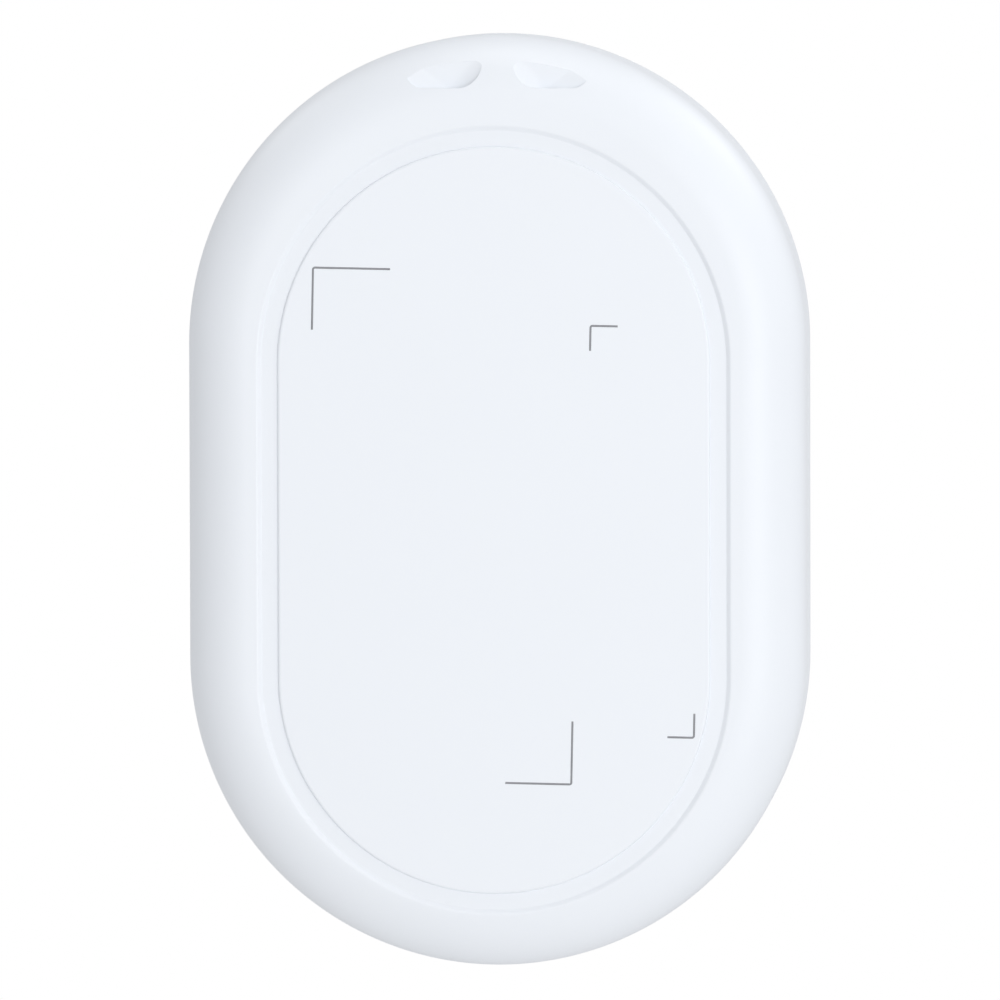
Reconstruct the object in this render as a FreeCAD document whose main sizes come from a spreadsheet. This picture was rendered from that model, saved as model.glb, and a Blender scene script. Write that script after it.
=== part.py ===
import FreeCAD, Part
import math
import os
import re

import Sketcher

# Panic button: a wearable two-part case with a large press button on its front.
#
# Every piece is drawn lying flat: x runs across the case, y up towards the end with the two
# wells, and z from the seam of the two covers towards the rear. One placement then stands each piece up,
# so that in the finished part Z is the height, the rear faces -Y and the button faces +Y.
# The origin is the middle of the case.

os.makedirs("parts", exist_ok=True)
doc = FreeCAD.newDocument("panic_button")

# Driving sizes, in millimetres and degrees
SIZES = {
    # Case
    "case_width": 61,
    "case_height": 92,
    "rear_edge_round": 6.2,
    "front_edge_round": 4,
    "face_wall": 1.8,
    "side_wall": 3,
    "solid_zone": 3.75,
    "seam_chamfer": 0.15,
    # Recess of the rear cover and the plate in it
    "recess_margin": 7.4,
    "recess_drop": 1.7,
    "recess_depth": 0.3,
    "recess_edge_round": 0.25,
    "moat_width": 1.8,
    "label_thickness": 0.3,
    "label_edge_round": 0.25,
    # Two shallow wells, open towards the end of the case, and the bar between them. The flat
    # floor of a well turns up in a bowl near the bar and in a gentle ramp near its far side.
    # Insets are measured down from the end of the case, turns from the x axis.
    "bar_width": 3.1,
    "well_shift": 0.42,
    "well_depth": 1.3,
    "well_reach": 9,
    "well_foot_inset": 5.2,
    "well_inner_corner": 2.4,
    "well_outer_corner": 1.6,
    "well_bowl_x": 2.81,
    "well_bowl_inset": 2.52,
    "well_bowl_turn": 40,
    "well_bowl_radius": 2.35,
    "well_ramp_x": 7.24,
    "well_ramp_inset": 3.4,
    "well_ramp_turn": 125.6,
    "well_ramp_slope": 0.2,
    "well_tool_length": 30,
    "well_tool_height": 1.6,
    # Case screws and their bosses: inset from the plate's side, rise above its round end
    "screw_inset": 5.5,
    "screw_rise": 8,
    "screw_radius": 1,
    "screw_length": 12,
    "screw_tip": 0.8,
    "screw_head_radius": 1.9,
    "screw_head_height": 1.3,
    "screw_slot_width": 0.5,
    "screw_slot_depth": 0.7,
    "screw_head_clearance": 0.2,
    "screw_clearance": 0.15,
    "thread_clearance": 0.02,
    "boss_wall": 1.9,
    "boss_root": 0.5,
    # Shares of a screw head's radius: where its crown starts and how far its cross reaches
    "head_crown": 0.7,
    "head_cross": 0.6,
    # Seal of the case
    "seal_width": 1.2,
    "seal_height": 1.2,
    "seal_rib_height": 0.4,
    "seal_rib_clearance": 0.1,
    # Circuit board
    "board_thickness": 1,
    "board_offset": 0.1,
    "board_margin": 2.5,
    # Coin cell, its holder and contacts
    "cell_radius": 12.25,
    "cell_thickness": 7.7,
    "cell_lid_radius": 11.2,
    "cell_step": 0.35,
    "cell_rise": 12,
    "cell_clearance": 0.25,
    "holder_floor": 0.5,
    "holder_wall": 1,
    "holder_height": 6.5,
    "holder_mouth": 14,
    "holder_window": 12,
    "clip_thickness": 0.25,
    "clip_width": 6,
    "clip_reach": 8,
    "clip_foot": 2,
    "clip_gap": 0.25,
    "contact_thickness": 0.2,
    "contact_width": 4,
    "contact_length": 16,
    # Light ring round the button
    "ring_gap": 0.3,
    "ring_width": 3.4,
    "ring_fit": 0.1,
    "ring_recess": 0.4,
    "ring_flange_width": 3.2,
    "ring_flange_thickness": 1,
    "ring_edge_round": 0.3,
    "light_pipe_radius": 1,
    "light_pipe_wall": 0.9,
    "light_pipe_gap": 0.2,
    # Button cap
    "cap_radius": 15.2,
    "cap_recess": 0.1,
    "cap_dish": 0.7,
    "cap_edge_round": 0.8,
    "cap_wall": 1.4,
    "cap_face": 1.5,
    "cap_flange_width": 1.2,
    "cap_flange_thickness": 0.8,
    "cap_post_radius": 4,
    "cap_rib_width": 0.8,
    "button_travel": 0.5,
    # Membrane behind the cap and the ring that clamps it
    "membrane_hub_thickness": 0.8,
    "membrane_web": 0.35,
    "membrane_gap": 0.5,
    "membrane_room": 0.35,
    "membrane_wall": 0.5,
    "membrane_rim_thickness": 1.2,
    "clamp_thickness": 1.2,
    "clamp_clearance": 0.2,
    "clamp_ear_radius": 2.2,
    "clamp_ear_gap": 0.3,
    "clamp_screw_angle": 30,
    "clamp_screw_radius": 0.8,
    "clamp_screw_length": 4,
    "clamp_screw_head_radius": 1.4,
    "clamp_screw_head_height": 0.9,
    "clamp_screw_slot_width": 0.35,
    "clamp_screw_slot_depth": 0.5,
    # Switch on the board
    "switch_size": 6,
    "switch_height": 2.9,
    "switch_pit_radius": 2.5,
    "dome_room": 0.4,
    "switch_frame_thickness": 0.2,
    "stem_radius": 1.7,
    "stem_flange_radius": 2.2,
    "stem_flange_thickness": 1.1,
    "stem_clearance": 0.15,
    "stem_stand": 0.5,
    "dome_radius": 2.3,
    "dome_thickness": 0.12,
    "lead_width": 0.7,
    "lead_thickness": 0.2,
    "lead_length": 1.2,
    "lead_spacing": 4.5,
    # Electronics on the board
    "led_length": 1.6,
    "led_width": 1.2,
    "led_height": 0.6,
    "radio_gap": 1.5,
    "radio_width": 14,
    "radio_height": 17,
    "radio_thickness": 0.8,
    "shield_width": 12,
    "shield_length": 10,
    "shield_height": 2,
    "shield_wall": 0.2,
    "antenna_length": 7,
    "antenna_width": 2,
    "antenna_height": 1.2,
    "antenna_margin": 3,
    "chip_size": 5,
    "chip_height": 0.9,
    "chip_x": -17,
    "chip_y": 8,
    "crystal_length": 3.2,
    "crystal_width": 2.5,
    "crystal_height": 0.8,
    "crystal_x": -17,
    "crystal_y": 2,
    "passive_length": 1.6,
    "passive_width": 0.8,
    "passive_height": 0.5,
    "passive_pitch": 2.4,
    "passive_count": 5,
    "capacitor_x": 16,
    "capacitor_y": 10,
    "resistor_x": 19,
    "resistor_y": 10,
}

# Sizes that follow from the driving ones. A level is a height above the seam.
DERIVED = {
    "case_radius": "case_width / 2",
    "case_centre": "case_height / 2 - case_radius",
    "cavity_radius": "case_radius - side_wall",
    "cavity_top": "case_centre - solid_zone",
    "board_front": "0 - board_offset",
    "board_rear": "board_thickness - board_offset",
    # Rear cover: its depth is the stack from the seam to the rear face
    "cell_level": "board_rear + holder_floor",
    "clip_level": "cell_level + cell_thickness",
    "rear_inside": "clip_level + clip_thickness + clip_gap",
    "rear_floor": "rear_inside + face_wall",
    "rear_depth": "rear_floor + recess_depth",
    "recess_radius": "case_radius - recess_margin",
    "recess_top": "case_centre - recess_drop",
    "recess_bottom": "0 - case_centre - recess_drop",
    "label_radius": "recess_radius - moat_width",
    # Front cover: its depth is the stack from the board to the front face
    "switch_level": "board_front - switch_height",
    "frame_level": "switch_level - switch_frame_thickness",
    "stem_level": "frame_level - button_travel - stem_stand",
    "hub_level": "stem_level - membrane_hub_thickness",
    "cap_back": "stem_level - membrane_web - membrane_room - button_travel",
    "flange_level": "cap_back - cap_flange_thickness",
    "front_inside": "flange_level - ring_flange_thickness",
    "front_level": "front_inside - face_wall",
    "front_depth": "0 - front_level",
    "seam_shift": "(rear_depth - front_depth) / 2",
    "ring_level": "front_level + ring_recess",
    "ring_inner_radius": "cap_radius + ring_gap",
    "ring_outer_radius": "ring_inner_radius + ring_width",
    "ring_flange_radius": "ring_outer_radius + ring_flange_width",
    "cap_level": "front_level + cap_recess",
    "cap_flange_radius": "cap_radius + cap_flange_width",
    "cap_inside": "cap_level + cap_dish + cap_face",
    "cap_dish_radius": "(cap_radius - cap_edge_round)^2 / (2 * cap_dish) + cap_dish / 2",
    "rim_level": "flange_level + membrane_rim_thickness",
    "membrane_rim_radius": "light_pipe_place - light_pipe_radius - clamp_clearance",
    "membrane_inner": "cap_flange_radius + membrane_gap",
    "membrane_outer": "membrane_inner + membrane_wall",
    "clamp_level": "rim_level + clamp_thickness",
    "clamp_inner": "membrane_outer + clamp_clearance",
    "clamp_lip": "membrane_rim_radius + clamp_clearance",
    "clamp_screw_place": "ring_flange_radius + clamp_ear_gap + clamp_ear_radius",
    "clamp_screw_x": "clamp_screw_place * cos(clamp_screw_angle)",
    "clamp_screw_y": "clamp_screw_place * sin(clamp_screw_angle)",
    "light_pipe_place": "ring_flange_radius - light_pipe_wall - light_pipe_radius",
    "light_pipe_xy": "light_pipe_place * sqrt(0.5)",
    "light_pipe_end": "board_front - led_height - light_pipe_gap",
    # Screws
    "screw_x": "label_radius - screw_inset",
    "screw_y": "case_centre + screw_rise",
    "screw_seat": "rear_floor - screw_head_height - screw_head_clearance",
    "screw_hole": "screw_radius + screw_clearance",
    "screw_end": "screw_seat - screw_length",
    "boss_radius": "screw_hole + boss_wall",
    # Seal: its groove runs in the middle of the wall
    "seal_inner": "cavity_radius + (side_wall - seal_width) / 2",
    "seal_outer": "seal_inner + seal_width",
    "groove_depth": "seal_height + seal_rib_height",
    # Wells: their floor, the line of their foot and the width of a bowl's cut
    "well_level": "rear_depth - well_depth",
    "well_foot": "case_height / 2 - well_foot_inset",
    "well_bowl_width": "sqrt(well_bowl_radius^2 - (well_bowl_radius - well_tool_height)^2)",
    # Board, coin cell holder and radio, from the two ends of the case
    "board_top": "cavity_top + cavity_radius - board_margin",
    "antenna_y": "board_top - antenna_margin - antenna_width / 2",
    "radio_y": "antenna_y - antenna_width / 2 - radio_gap - radio_height / 2",
    "cell_y": "cell_rise - screw_y",
    "holder_inner": "cell_radius + cell_clearance",
    "holder_outer": "holder_inner + holder_wall",
    "stem_flange_level": "switch_level + stem_flange_thickness",
    "pit_level": "stem_flange_level + button_travel + dome_room",
}

sheet = doc.addObject("Spreadsheet::Sheet", "Sizes")
for row, (name, number) in enumerate(SIZES.items(), start=1):
    sheet.set(f"A{row}", name)
    sheet.set(f"B{row}", str(number))
    sheet.setAlias(f"B{row}", name)
doc.recompute()

Vector = FreeCAD.Vector
UPRIGHT = FreeCAD.Rotation(Vector(1, 0, 0), 90)
NEAR = 0.001
pieces = []


def formula(text):
    """Turn the words of a size into an expression on the cells of the sheet."""

    def word(match):
        name = match.group(0)
        if name in DERIVED:
            return "(" + formula(DERIVED[name]) + ")"
        if name in SIZES:
            return "Sizes." + name
        return name

    return re.sub(r"[a-z][a-z_]*", word, str(text))


def number_of(text):
    """Give the value that a size has now."""
    value = sheet.evalExpression(formula(text))
    return float(getattr(value, "Value", value))


def bind(thing, **sizes):
    """Tie properties of an object to sizes; a double underscore stands for a dot."""
    for name, text in sizes.items():
        thing.setExpression(name.replace("__", "."), formula(text))
    return thing


def stand(thing, label, x="0", y="0", z="0"):
    """Name a finished piece, stand it up and put it in its place."""
    thing.Label = label
    thing.Placement = FreeCAD.Placement(Vector(0, 0, 0), UPRIGHT)
    depth = f"seam_shift - ({z})"
    bind(thing, Placement__Base__x=x, Placement__Base__y=depth, Placement__Base__z=y)
    pieces.append(thing)
    return thing


def new_body(name):
    return doc.addObject("PartDesign::Body", name + "_body")


def new_sketch(body, name, level="0", plane="XY_Plane"):
    """Add an empty sketch on one of the body's own planes, raised to a level."""
    sketch = body.newObject("Sketcher::SketchObject", name)
    support = [feature for feature in body.Origin.OriginFeatures if feature.Role == plane][0]
    sketch.AttachmentSupport = (support, [""])
    sketch.MapMode = "FlatFace"
    return bind(sketch, AttachmentOffset__Base__z=level)


def fix(sketch, kind, *where, size):
    """Add a constraint whose value is a size."""
    index = sketch.addConstraint(Sketcher.Constraint(kind, *where, number_of(size)))
    sketch.setExpression(f"Constraints[{index}]", formula(size))


def draw_circle(sketch, radius, x="0", y="0"):
    centre = Vector(number_of(x), number_of(y), 0)
    index = sketch.addGeometry(Part.Circle(centre, Vector(0, 0, 1), number_of(radius)), False)
    fix(sketch, "Radius", index, size=radius)
    fix(sketch, "DistanceX", index, 3, size=x)
    fix(sketch, "DistanceY", index, 3, size=y)


def short_arc(start, stop, radius):
    """Give the short arc that turns left on its way from start to stop."""
    half = (stop - start) * 0.5
    side = Vector(-half.y, half.x, 0).normalize()
    rise = math.sqrt(max(radius * radius - half.Length * half.Length, 0))
    centre = (start + stop) * 0.5 + side * rise
    first = math.atan2(start.y - centre.y, start.x - centre.x)
    last = math.atan2(stop.y - centre.y, stop.x - centre.x)
    if last < first:
        last += 2 * math.pi
    return Part.ArcOfCircle(Part.Circle(centre, Vector(0, 0, 1), radius), first, last)


def draw_loop(sketch, points):
    """Draw a closed outline. A third entry makes the edge to the next point an arc of that
    radius, which turns left, or right where the radius is written with a minus sign."""
    places = [Vector(number_of(point[0]), number_of(point[1]), 0) for point in points]
    count = len(points)
    edges = []
    for index, point in enumerate(points):
        start = places[index]
        stop = places[(index + 1) % count]
        if len(point) == 2:
            edges.append((sketch.addGeometry(Part.LineSegment(start, stop), False), 1, 2))
            continue
        radius = number_of(point[2].lstrip("-"))
        if point[2].startswith("-"):
            edges.append((sketch.addGeometry(short_arc(stop, start, radius), False), 2, 1))
        else:
            edges.append((sketch.addGeometry(short_arc(start, stop, radius), False), 1, 2))
    for index in range(count):
        edge, first, last = edges[index]
        after, after_first, _ = edges[(index + 1) % count]
        sketch.addConstraint(Sketcher.Constraint("Coincident", edge, last, after, after_first))
        fix(sketch, "DistanceX", edge, first, size=points[index][0])
        fix(sketch, "DistanceY", edge, first, size=points[index][1])
        if len(points[index]) == 3:
            fix(sketch, "Radius", edge, size=points[index][2].lstrip("-"))


def draw_stadium(sketch, radius, top, bottom):
    """Draw two straight sides and two round ends whose centres are at top and bottom."""
    wide, high, low = number_of(radius), number_of(top), number_of(bottom)
    up = Vector(0, 0, 1)
    right = sketch.addGeometry(Part.LineSegment(Vector(wide, low, 0), Vector(wide, high, 0)), False)
    left = sketch.addGeometry(Part.LineSegment(Vector(-wide, high, 0), Vector(-wide, low, 0)), False)
    cap = Part.ArcOfCircle(Part.Circle(Vector(0, high, 0), up, wide), 0, math.pi)
    cup = Part.ArcOfCircle(Part.Circle(Vector(0, low, 0), up, wide), math.pi, 2 * math.pi)
    upper = sketch.addGeometry(cap, False)
    lower = sketch.addGeometry(cup, False)
    sides = ((right, bottom, top, radius), (left, top, bottom, f"0 - ({radius})"))
    for line, start, stop, side in sides:
        fix(sketch, "DistanceX", line, 1, size=side)
        fix(sketch, "DistanceY", line, 1, size=start)
        fix(sketch, "DistanceX", line, 2, size=side)
        fix(sketch, "DistanceY", line, 2, size=stop)
    joins = ((right, 2, upper, 1), (left, 1, upper, 2), (left, 2, lower, 1), (right, 1, lower, 2))
    for line, end, arc, arc_end in joins:
        sketch.addConstraint(Sketcher.Constraint("Coincident", line, end, arc, arc_end))
    fix(sketch, "DistanceY", upper, 3, size=top)
    fix(sketch, "DistanceY", lower, 3, size=bottom)


def draw_box(sketch, width, height, x="0", y="0"):
    left, right = f"({x}) - ({width}) / 2", f"({x}) + ({width}) / 2"
    low, high = f"({y}) - ({height}) / 2", f"({y}) + ({height}) / 2"
    draw_loop(sketch, [(left, low), (right, low), (right, high), (left, high)])


def pad(sketch, length, name, back=False, middle=False, kind="PartDesign::Pad"):
    """Raise a sketch into a solid; back turns it round, middle spreads it both ways."""
    feature = sketch.getParentGeoFeatureGroup().newObject(kind, name)
    feature.Profile = sketch
    feature.Reversed = back
    if middle:
        feature.SideType = "Symmetric" if hasattr(feature, "SideType") else 2
    return bind(feature, Length=length)


def pocket(sketch, length, name, back=False, middle=False):
    return pad(sketch, length, name, back, middle, "PartDesign::Pocket")


def turn(sketch, name, kind="PartDesign::Revolution"):
    """Spin a sketch of the XZ plane once round the z axis."""
    feature = sketch.getParentGeoFeatureGroup().newObject(kind, name)
    feature.Profile = sketch
    feature.ReferenceAxis = (sketch, ["V_Axis"])
    feature.Angle = 360
    return feature


def edges_where(feature, test):
    """List the edges of a feature that pass a test on their box."""
    doc.recompute()
    edges = enumerate(feature.Shape.Edges, start=1)
    return [f"Edge{index}" for index, edge in edges if test(edge.BoundBox)]


def lies_at(level):
    """Make a test for edges that lie flat at a level."""
    height = number_of(level)
    return lambda box: abs(box.ZMin - height) < NEAR and abs(box.ZMax - height) < NEAR


def round_edges(base, names, radius, name):
    feature = base.getParentGeoFeatureGroup().newObject("PartDesign::Fillet", name)
    feature.Base = (base, names)
    return bind(feature, Radius=radius)


def bevel_edges(base, names, size, name):
    feature = base.getParentGeoFeatureGroup().newObject("PartDesign::Chamfer", name)
    feature.Base = (base, names)
    return bind(feature, Size=size)


def box(name, length, width, height, x="0", y="0", z="0"):
    """Make a block centred on x and y that stands on z."""
    block = doc.addObject("Part::Box", name)
    left, front = f"({x}) - ({length}) / 2", f"({y}) - ({width}) / 2"
    bind(block, Length=length, Width=width, Height=height)
    return bind(block, Placement__Base__x=left, Placement__Base__y=front, Placement__Base__z=z)


def cut(name, base, tool):
    thing = doc.addObject("Part::Cut", name)
    thing.Base = base
    thing.Tool = tool
    return thing


def common(name, shapes):
    thing = doc.addObject("Part::MultiCommon", name)
    thing.Shapes = shapes
    return thing


def fuse(name, shapes):
    thing = doc.addObject("Part::MultiFuse", name)
    thing.Shapes = shapes
    return thing


def group(name, shapes):
    """Keep identical pieces together as separate solids."""
    thing = doc.addObject("Part::Compound", name + "_group")
    thing.Links = shapes
    return thing


def copies(name, original, places):
    """Repeat one piece at each place."""
    links = []
    for index, (x, y, z) in enumerate(places, start=1):
        link = doc.addObject("App::Link", f"{name}_{index}")
        link.LinkedObject = original
        links.append(bind(link, Placement__Base__x=x, Placement__Base__y=y, Placement__Base__z=z))
    return group(name, links)


def mirrored(points):
    """Run a closed outline backwards, so that one mirrored across still turns left."""
    count = len(points)
    turned = []
    for index in range(count):
        here, before = points[-index], points[-index - 1]
        turned.append(here[:2] + before[2:])
    return turned


def corners(x, y, z="0"):
    """Give the four mirrored places of a point."""
    return [(x, y, z), (f"0 - ({x})", y, z), (f"0 - ({x})", f"0 - ({y})", z), (x, f"0 - ({y})", z)]


def draw_circles(sketch, radius, places):
    for x, y, _ in places:
        draw_circle(sketch, radius, x, y)


# Both covers start as half a rounded case with a hollow in it
def half_case(name, depth, inside, edge_round, back):
    body = new_body(name)
    face = depth if not back else f"0 - ({depth})"
    outline = new_sketch(body, "Outline")
    draw_stadium(outline, "case_radius", "case_centre", "0 - case_centre")
    block = pad(outline, depth, "Block", back=back)
    rounded = round_edges(block, edges_where(block, lies_at(face)), edge_round, "EdgeRound")
    seam = bevel_edges(rounded, edges_where(rounded, lies_at("0")), "seam_chamfer", "SeamChamfer")
    hollow = new_sketch(body, "Hollow")
    draw_stadium(hollow, "cavity_radius", "cavity_top", "0 - case_centre")
    depth_inside = inside if not back else f"0 - ({inside})"
    cavity = pocket(hollow, depth_inside, "Cavity", back=not back)
    reach = number_of("cavity_radius")
    top = number_of("cavity_top") + reach
    flat = lies_at(inside)
    names = edges_where(cavity, lambda box: flat(box) and box.XMax <= reach + NEAR and box.YMax <= top + NEAR)
    round_edges(cavity, names, f"{edge_round} - side_wall", "CavityRound")
    return body


# Rear cover, with its recess, seal groove, screw bosses and wells
def rear_cover():
    body = half_case("rear_cover", "rear_depth", "rear_inside", "rear_edge_round", back=False)

    recess = new_sketch(body, "Recess", "rear_depth")
    draw_stadium(recess, "recess_radius", "recess_top", "recess_bottom")
    sunk = pocket(recess, "recess_depth", "RecessCut")
    reach = number_of("recess_radius")
    top = lies_at("rear_depth")
    names = edges_where(sunk, lambda box: top(box) and box.XMax <= reach + NEAR)
    round_edges(sunk, names, "recess_edge_round", "RecessEdge")

    groove = new_sketch(body, "Groove")
    draw_stadium(groove, "seal_outer", "cavity_top", "0 - case_centre")
    draw_stadium(groove, "seal_inner", "cavity_top", "0 - case_centre")
    pocket(groove, "groove_depth", "SealGroove", back=True)

    bosses = new_sketch(body, "Bosses", "board_rear")
    draw_circles(bosses, "boss_radius", corners("screw_x", "screw_y"))
    pad(bosses, "rear_inside + boss_root - board_rear", "ScrewBosses")
    seats = new_sketch(body, "Seats", "rear_floor")
    draw_circles(seats, "screw_head_radius + screw_head_clearance", corners("screw_x", "screw_y"))
    pocket(seats, "rear_floor - screw_seat", "ScrewSeats")
    holes = new_sketch(body, "Holes", "screw_seat")
    draw_circles(holes, "screw_hole", corners("screw_x", "screw_y"))
    pocket(holes, "screw_seat - board_rear", "ScrewHoles")

    whole = cut("rear_cover_whole", body, fuse("wells", [well(1), well(-1)]))
    stand(whole, "rear_cover")


# Bar with a flat underside that turns up on one side, turned about z and set down at a point
def trough(name, profile, turned, x, y):
    body = new_body(name)
    side = new_sketch(body, "Side", plane="XZ_Plane")
    draw_loop(side, profile)
    pad(side, "2 * well_tool_length", "Bar", middle=True)
    body.Placement = FreeCAD.Placement(Vector(0, 0, 0), FreeCAD.Rotation(Vector(0, 0, 1), 1))
    bind(body, Placement__Rotation__Angle=turned)
    return bind(body, Placement__Base__x=x, Placement__Base__y=y, Placement__Base__z="well_level")


# Tool that cuts the well on one side of the bar: what its plan and two troughs have in common
def well(side):
    plan = new_body("well_plan")
    outline = new_sketch(plan, "Outline", "well_level")
    near, far = "bar_width / 2", "well_reach"
    high = "case_height / 2 + well_tool_height"
    points = [
        (f"{near} + well_inner_corner", "well_foot"),
        (f"{far} - well_outer_corner", "well_foot", "well_outer_corner"),
        (far, "well_foot + well_outer_corner"),
        (far, high),
        (near, high),
        (near, "well_foot + well_inner_corner", "well_inner_corner"),
    ]
    placed = [(f"well_shift + {side} * ({point[0]})",) + point[1:] for point in points]
    draw_loop(outline, placed if side == 1 else mirrored(placed))
    pad(outline, "well_tool_height", "Plan")

    floor_and_top = [
        ("0", "0"),
        ("well_tool_length", "0"),
        ("well_tool_length", "well_tool_height"),
    ]
    bowl_end = ("0 - well_bowl_width", "well_tool_height", "well_bowl_radius")
    ramp_end = ("0 - well_tool_height / well_ramp_slope", "well_tool_height")
    tools = [plan]
    for name, end in (("bowl", bowl_end), ("ramp", ramp_end)):
        turned = f"90 - {side} * (90 - well_{name}_turn)"
        x = f"well_shift + {side} * well_{name}_x"
        y = f"case_height / 2 - well_{name}_inset"
        tools.append(trough(f"well_{name}", floor_and_top + [end], turned, x, y))
    return common("well", tools)


# Front cover, with the opening of the button, its bosses and the rib that presses the seal
def front_cover():
    body = half_case("front_cover", "front_depth", "front_inside", "front_edge_round", back=True)
    rib = new_sketch(body, "Rib")
    draw_stadium(rib, "seal_outer - seal_rib_clearance", "cavity_top", "0 - case_centre")
    draw_stadium(rib, "seal_inner + seal_rib_clearance", "cavity_top", "0 - case_centre")
    pad(rib, "seal_rib_height", "SealRib")
    bosses = new_sketch(body, "Bosses", "board_front")
    draw_circles(bosses, "boss_radius", corners("screw_x", "screw_y"))
    pad(bosses, "board_front - front_inside + boss_root", "ScrewBosses", back=True)
    posts = new_sketch(body, "Posts", "rim_level")
    draw_circles(posts, "clamp_ear_radius", corners("clamp_screw_x", "clamp_screw_y"))
    pad(posts, "rim_level - front_inside + boss_root", "ClampPosts", back=True)
    pilots = new_sketch(body, "Pilots", "board_front")
    draw_circles(pilots, "screw_radius + thread_clearance", corners("screw_x", "screw_y"))
    pocket(pilots, "board_front - screw_end", "ScrewPilots")
    threads = new_sketch(body, "Threads", "rim_level")
    draw_circles(threads, "clamp_screw_radius + thread_clearance", corners("clamp_screw_x", "clamp_screw_y"))
    pocket(threads, "clamp_screw_length - clamp_thickness", "ClampPilots")
    opening = new_sketch(body, "Opening", "front_inside + boss_root")
    draw_circle(opening, "ring_outer_radius + ring_fit")
    hole = pocket(opening, "face_wall + 2 * boss_root", "ButtonOpening")
    reach = number_of("ring_outer_radius + ring_fit")
    front = lies_at("front_level")
    names = edges_where(hole, lambda box: front(box) and abs(box.XMax - reach) < NEAR)
    round_edges(hole, names, "ring_edge_round", "OpeningEdge")
    stand(body, "front_cover")


# Thin plate that lies in the recess of the rear cover and hides the screws
def label_plate():
    body = new_body("label_plate")
    outline = new_sketch(body, "Outline")
    draw_stadium(outline, "label_radius", "recess_top", "recess_bottom")
    plate = pad(outline, "label_thickness", "Plate")
    round_edges(plate, edges_where(plate, lies_at("label_thickness")), "label_edge_round", "TopEdge")
    stand(body, "label_plate", z="rear_floor")


# Rubber cord that seals the seam
def case_seal():
    body = new_body("case_seal")
    outline = new_sketch(body, "Outline")
    draw_stadium(outline, "seal_outer", "cavity_top", "0 - case_centre")
    draw_stadium(outline, "seal_inner", "cavity_top", "0 - case_centre")
    pad(outline, "seal_height", "Cord")
    stand(body, "case_seal", z="seal_rib_height")


# One screw with its head on z = 0 and its tip below, and a cross in the head
def screw(name, radius, length, tip, head_radius, head_height, slot_width, slot_depth):
    body = new_body(name + "_screw")
    side = new_sketch(body, "Side", plane="XZ_Plane")
    draw_loop(side, [
        ("0", f"0 - {length}"),
        (f"{radius} / 2", f"0 - {length}"),
        (radius, f"{tip} - {length}"),
        (radius, "0"),
        (head_radius, "0"),
        (head_radius, f"{head_height} / 2"),
        (f"{head_radius} * head_crown", head_height),
        ("0", head_height),
    ])
    turn(side, "Shank")
    slots = new_sketch(body, "Cross", head_height)
    near, far = f"{slot_width} / 2", f"{head_radius} * head_cross"
    draw_loop(slots, [
        (near, near),
        (near, far),
        (f"0 - {near}", far),
        (f"0 - {near}", near),
        (f"0 - {far}", near),
        (f"0 - {far}", f"0 - {near}"),
        (f"0 - {near}", f"0 - {near}"),
        (f"0 - {near}", f"0 - {far}"),
        (near, f"0 - {far}"),
        (near, f"0 - {near}"),
        (far, f"0 - {near}"),
        (far, near),
    ])
    pocket(slots, slot_depth, "DriveCross")
    return body


def case_screws():
    one = screw("case", "screw_radius", "screw_length", "screw_tip", "screw_head_radius",
                "screw_head_height", "screw_slot_width", "screw_slot_depth")
    stand(copies("case_screws", one, corners("screw_x", "screw_y", "screw_seat")), "case_screws")


def clamp_screws():
    one = screw("clamp", "clamp_screw_radius", "clamp_screw_length", "clamp_screw_radius / 2",
                "clamp_screw_head_radius", "clamp_screw_head_height",
                "clamp_screw_slot_width", "clamp_screw_slot_depth")
    places = corners("clamp_screw_x", "clamp_screw_y", "clamp_level")
    stand(copies("clamp_screws", one, places), "clamp_screws")


# Red cap: a dished face, a skirt with a flange that the ring holds back, a post and ribs
def button_cap():
    body = new_body("button_cap")
    side = new_sketch(body, "Side", plane="XZ_Plane")
    draw_loop(side, [
        ("0", "cap_level + cap_dish", "-cap_dish_radius"),
        ("cap_radius - cap_edge_round", "cap_level", "cap_edge_round"),
        ("cap_radius", "cap_level + cap_edge_round"),
        ("cap_radius", "flange_level"),
        ("cap_flange_radius", "flange_level"),
        ("cap_flange_radius", "cap_back"),
        ("cap_radius - cap_wall", "cap_back"),
        ("cap_radius - cap_wall", "cap_inside"),
        ("cap_post_radius", "cap_inside"),
        ("cap_post_radius", "hub_level"),
        ("0", "hub_level"),
    ])
    turn(side, "Shell")
    ribs = new_sketch(body, "Ribs", "cap_inside")
    middle = "(cap_post_radius + cap_radius - cap_wall) / 2"
    length = "cap_radius - cap_post_radius"
    draw_box(ribs, length, "cap_rib_width", x=middle)
    draw_box(ribs, length, "cap_rib_width", x=f"0 - {middle}")
    draw_box(ribs, "cap_rib_width", length, y=middle)
    draw_box(ribs, "cap_rib_width", length, y=f"0 - {middle}")
    pad(ribs, "cap_back - cap_inside", "StiffeningRibs")
    stand(body, "button_cap")


# Clear ring round the button, lit through four pipes that reach down to the board
def light_ring():
    body = new_body("light_ring")
    side = new_sketch(body, "Side", plane="XZ_Plane")
    draw_loop(side, [
        ("ring_inner_radius + ring_edge_round", "ring_level"),
        ("ring_outer_radius - ring_edge_round", "ring_level", "ring_edge_round"),
        ("ring_outer_radius", "ring_level + ring_edge_round"),
        ("ring_outer_radius", "front_inside"),
        ("ring_flange_radius", "front_inside"),
        ("ring_flange_radius", "flange_level"),
        ("ring_inner_radius", "flange_level"),
        ("ring_inner_radius", "ring_level + ring_edge_round", "ring_edge_round"),
    ])
    turn(side, "Ring")
    pipes = new_sketch(body, "Pipes", "flange_level")
    draw_circles(pipes, "light_pipe_radius", corners("light_pipe_xy", "light_pipe_xy"))
    pad(pipes, "light_pipe_end - flange_level", "LightPipes")
    stand(body, "light_ring")


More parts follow.
